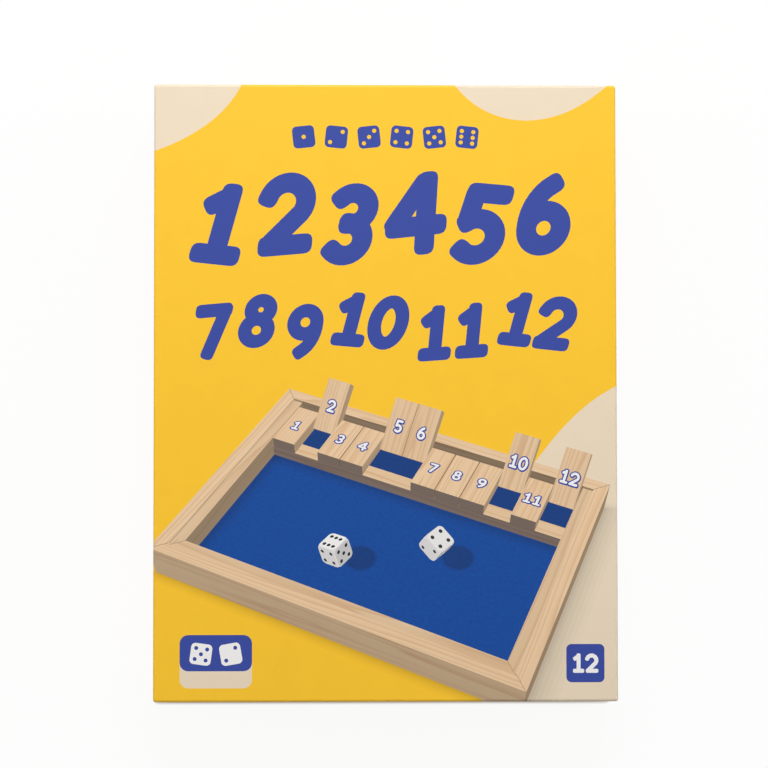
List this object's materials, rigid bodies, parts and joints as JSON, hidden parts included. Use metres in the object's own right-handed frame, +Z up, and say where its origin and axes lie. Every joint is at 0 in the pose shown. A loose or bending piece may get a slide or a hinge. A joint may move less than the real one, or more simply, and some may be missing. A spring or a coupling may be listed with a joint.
{
  "type": "shut the box game",
  "caption": "Card box with a lift-off lid that holds a felt-lined wooden tray with a row of hinged number tiles and dice.",
  "frame": {"origin": "centre of the bounding box's underside, on the surface that the box lies on", "axes": "+Z up through the cover, +Y towards the top edge of the cover picture, +X to its right. The tray's tiles hinge along the side towards -X, and a player sits at +X."},
  "size_m": [0.219, 0.292, 0.064],
  "materials": {
    "greyboard": "bare grey recycled board",
    "printed_paper": "yellow litho-printed paper with a thin satin film",
    "corrugated_card": "brown kraft corrugated card",
    "white_paper": "uncoated white paper",
    "pine": "pale pine under a thin satin lacquer",
    "tile_wood": "sanded pale pine with blue printed numbers",
    "plywood": "bare plywood",
    "blue_felt": "pressed wool felt",
    "steel_rod": "drawn steel wire",
    "white_dice": "polished white plastic with black pips"
  },
  "bodies": {
    "box_base": {"base_board": "greyboard", "base_wrap": "printed_paper", "base_sheet": "printed_paper", "card_insert": "corrugated_card", "rules_leaflet": "white_paper"},
    "tray": {"rail_back": "pine", "rail_front": "pine", "rail_left": "pine", "rail_right": "pine", "tray_floor": "plywood", "felt_sheet": "blue_felt", "divider_bar": "pine", "pivot_rod": "steel_rod"},
    "lid": {"lid_board": "greyboard", "lid_wrap": "printed_paper"},
    "tile_01": {"tile_01": "tile_wood"},
    "tile_02": {"tile_02": "tile_wood"},
    "tile_03": {"tile_03": "tile_wood"},
    "tile_04": {"tile_04": "tile_wood"},
    "tile_05": {"tile_05": "tile_wood"},
    "tile_06": {"tile_06": "tile_wood"},
    "tile_07": {"tile_07": "tile_wood"},
    "tile_08": {"tile_08": "tile_wood"},
    "tile_09": {"tile_09": "tile_wood"},
    "tile_10": {"tile_10": "tile_wood"},
    "tile_11": {"tile_11": "tile_wood"},
    "tile_12": {"tile_12": "tile_wood"},
    "die_1": {"die_1": "white_dice"},
    "die_2": {"die_2": "white_dice"}
  },
  "joints": [
    {"name": "tray_lift", "type": "slide", "parent": "box_base", "child": "tray", "axis": [0, 0, 1], "range_m": [0, 0.08]},
    {"name": "lid_lift", "type": "slide", "parent": "tray", "child": "lid", "axis": [0, 0, 1], "range_m": [0, 0.12]},
    {"name": "tile_01_flip", "type": "hinge", "parent": "tray", "child": "tile_01", "pos_m": [-0.0712, -0.11, 0.022], "axis": [0, -1, 0], "range_deg": [0, 137]},
    {"name": "tile_02_flip", "type": "hinge", "parent": "tray", "child": "tile_02", "pos_m": [-0.0712, -0.09, 0.022], "axis": [0, -1, 0], "range_deg": [0, 137]},
    {"name": "tile_03_flip", "type": "hinge", "parent": "tray", "child": "tile_03", "pos_m": [-0.0712, -0.07, 0.022], "axis": [0, -1, 0], "range_deg": [0, 137]},
    {"name": "tile_04_flip", "type": "hinge", "parent": "tray", "child": "tile_04", "pos_m": [-0.0712, -0.05, 0.022], "axis": [0, -1, 0], "range_deg": [0, 137]},
    {"name": "tile_05_flip", "type": "hinge", "parent": "tray", "child": "tile_05", "pos_m": [-0.0712, -0.03, 0.022], "axis": [0, -1, 0], "range_deg": [0, 137]},
    {"name": "tile_06_flip", "type": "hinge", "parent": "tray", "child": "tile_06", "pos_m": [-0.0712, -0.01, 0.022], "axis": [0, -1, 0], "range_deg": [0, 137]},
    {"name": "tile_07_flip", "type": "hinge", "parent": "tray", "child": "tile_07", "pos_m": [-0.0712, 0.01, 0.022], "axis": [0, -1, 0], "range_deg": [0, 137]},
    {"name": "tile_08_flip", "type": "hinge", "parent": "tray", "child": "tile_08", "pos_m": [-0.0712, 0.03, 0.022], "axis": [0, -1, 0], "range_deg": [0, 137]},
    {"name": "tile_09_flip", "type": "hinge", "parent": "tray", "child": "tile_09", "pos_m": [-0.0712, 0.05, 0.022], "axis": [0, -1, 0], "range_deg": [0, 137]},
    {"name": "tile_10_flip", "type": "hinge", "parent": "tray", "child": "tile_10", "pos_m": [-0.0712, 0.07, 0.022], "axis": [0, -1, 0], "range_deg": [0, 137]},
    {"name": "tile_11_flip", "type": "hinge", "parent": "tray", "child": "tile_11", "pos_m": [-0.0712, 0.09, 0.022], "axis": [0, -1, 0], "range_deg": [0, 137]},
    {"name": "tile_12_flip", "type": "hinge", "parent": "tray", "child": "tile_12", "pos_m": [-0.0712, 0.11, 0.022], "axis": [0, -1, 0], "range_deg": [0, 137]},
    {"name": "die_1_slide", "type": "slide", "parent": "tray", "child": "die_1", "axis": [0, 1, 0], "range_m": [-0.046, 0.17]},
    {"name": "die_2_slide", "type": "slide", "parent": "tray", "child": "die_2", "axis": [0, 1, 0], "range_m": [-0.085, 0.133]}
  ]
}
